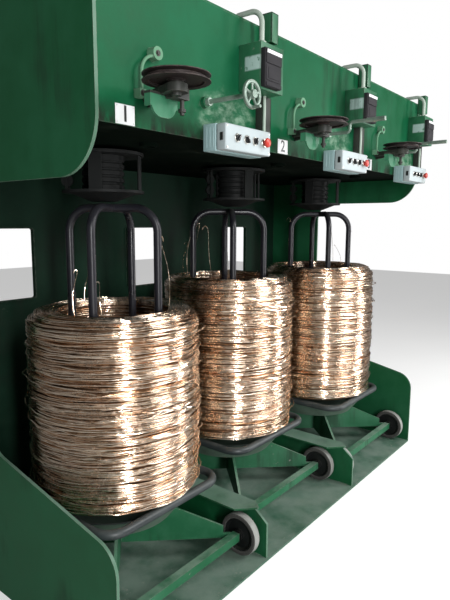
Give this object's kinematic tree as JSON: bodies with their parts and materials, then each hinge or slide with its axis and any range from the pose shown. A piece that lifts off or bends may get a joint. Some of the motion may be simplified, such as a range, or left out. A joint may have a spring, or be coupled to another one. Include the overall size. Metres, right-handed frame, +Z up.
{
  "type": "wire take-up coiler",
  "caption": "Wire take-up coiler with stations side by side in one frame, coiling heads above, and roll-out carriages that carry the wound wire.",
  "frame": {"origin": "centre of the base on the floor", "axes": "+X along the row of stations, from the first to the last; +Y to the rear; +Z up"},
  "size_m": [2.7, 1.469, 2.39],
  "materials": {
    "green_paint": "satin",
    "dark_green_paint": "satin",
    "black_paint": "satin",
    "grey_paint": "satin",
    "worn_iron": "matt",
    "bright_steel": "satin",
    "bronze_wire": "bright drawn wire",
    "grey_tyre": "matt",
    "dark_plastic": "matt"
  },
  "bodies": {
    "frame": {"left_end_plate": "green_paint", "right_end_plate": "green_paint", "rear_wall": "dark_green_paint", "front_fascia": "green_paint", "head_roof": "green_paint", "head_belly": "dark_green_paint", "floor_plate": "dark_green_paint", "divider_1": "green_paint", "divider_2": "green_paint", "sheave_bracket_1": "green_paint", "control_box_1": "grey_paint", "isolator_1": "dark_plastic", "sheave_bracket_2": "green_paint", "control_box_2": "grey_paint", "isolator_2": "dark_plastic", "sheave_bracket_3": "green_paint", "control_box_3": "grey_paint", "isolator_3": "dark_plastic"},
    "coiling_head_1": {"coiling_head_1": "black_paint"},
    "sheave_1": {"sheave_1": "worn_iron"},
    "handwheel_1": {"handwheel_1": "bright_steel"},
    "carriage_1": {"carriage_frame_1": "green_paint", "carrier_ring_1": "dark_green_paint", "stem_1": "black_paint", "wire_coil_1": "bronze_wire"},
    "front_wheels_1": {"front_wheels_1": "grey_tyre"},
    "rear_wheels_1": {"rear_wheels_1": "grey_tyre"},
    "coiling_head_2": {"coiling_head_2": "black_paint"},
    "sheave_2": {"sheave_2": "worn_iron"},
    "crank_2": {"crank_2": "bright_steel"},
    "carriage_2": {"carriage_frame_2": "green_paint", "carrier_ring_2": "dark_green_paint", "stem_2": "black_paint", "wire_coil_2": "bronze_wire"},
    "front_wheels_2": {"front_wheels_2": "grey_tyre"},
    "rear_wheels_2": {"rear_wheels_2": "grey_tyre"},
    "coiling_head_3": {"coiling_head_3": "black_paint"},
    "sheave_3": {"sheave_3": "worn_iron"},
    "crank_3": {"crank_3": "bright_steel"},
    "carriage_3": {"carriage_frame_3": "green_paint", "carrier_ring_3": "dark_green_paint", "stem_3": "black_paint", "wire_coil_3": "bronze_wire"},
    "front_wheels_3": {"front_wheels_3": "grey_tyre"},
    "rear_wheels_3": {"rear_wheels_3": "grey_tyre"}
  },
  "joints": [
    {"name": "head_1_turn", "type": "hinge", "parent": "frame", "child": "coiling_head_1", "pos_m": [-0.9, -0.03, 1.88], "axis": [0, 0, 1], "continuous": true},
    {"name": "sheave_1_turn", "type": "hinge", "parent": "frame", "child": "sheave_1", "pos_m": [-1.183, -0.73, 1.9845], "axis": [0, 0, 1], "continuous": true},
    {"name": "shaft_1_turn", "type": "hinge", "parent": "frame", "child": "handwheel_1", "pos_m": [-0.865, -0.56, 1.99], "axis": [0, -1, 0], "continuous": true},
    {"name": "carriage_1_roll", "type": "slide", "parent": "frame", "child": "carriage_1", "axis": [0, -1, 0], "range_m": [0, 1.1]},
    {"name": "front_wheels_1_turn", "type": "hinge", "parent": "carriage_1", "child": "front_wheels_1", "pos_m": [-0.9, -0.471, 0.1103], "axis": [1, 0, 0], "continuous": true},
    {"name": "rear_wheels_1_turn", "type": "hinge", "parent": "carriage_1", "child": "rear_wheels_1", "pos_m": [-0.9, 0.309, 0.1103], "axis": [1, 0, 0], "continuous": true},
    {"name": "head_2_turn", "type": "hinge", "parent": "frame", "child": "coiling_head_2", "pos_m": [0, -0.03, 1.88], "axis": [0, 0, 1], "continuous": true},
    {"name": "sheave_2_turn", "type": "hinge", "parent": "frame", "child": "sheave_2", "pos_m": [-0.283, -0.73, 1.9845], "axis": [0, 0, 1], "continuous": true},
    {"name": "shaft_2_turn", "type": "hinge", "parent": "frame", "child": "crank_2", "pos_m": [0.035, -0.56, 1.99], "axis": [0, -1, 0], "continuous": true},
    {"name": "carriage_2_roll", "type": "slide", "parent": "frame", "child": "carriage_2", "axis": [0, -1, 0], "range_m": [0, 1.1]},
    {"name": "front_wheels_2_turn", "type": "hinge", "parent": "carriage_2", "child": "front_wheels_2", "pos_m": [0, -0.386, 0.1103], "axis": [1, 0, 0], "continuous": true},
    {"name": "rear_wheels_2_turn", "type": "hinge", "parent": "carriage_2", "child": "rear_wheels_2", "pos_m": [0, 0.394, 0.1103], "axis": [1, 0, 0], "continuous": true},
    {"name": "head_3_turn", "type": "hinge", "parent": "frame", "child": "coiling_head_3", "pos_m": [0.9, -0.03, 1.88], "axis": [0, 0, 1], "continuous": true},
    {"name": "sheave_3_turn", "type": "hinge", "parent": "frame", "child": "sheave_3", "pos_m": [0.617, -0.73, 1.9845], "axis": [0, 0, 1], "continuous": true},
    {"name": "shaft_3_turn", "type": "hinge", "parent": "frame", "child": "crank_3", "pos_m": [0.935, -0.56, 1.99], "axis": [0, -1, 0], "continuous": true},
    {"name": "carriage_3_roll", "type": "slide", "parent": "frame", "child": "carriage_3", "axis": [0, -1, 0], "range_m": [0, 1.1]},
    {"name": "front_wheels_3_turn", "type": "hinge", "parent": "carriage_3", "child": "front_wheels_3", "pos_m": [0.9, -0.468, 0.1103], "axis": [1, 0, 0], "continuous": true},
    {"name": "rear_wheels_3_turn", "type": "hinge", "parent": "carriage_3", "child": "rear_wheels_3", "pos_m": [0.9, 0.312, 0.1103], "axis": [1, 0, 0], "continuous": true}
  ]
}
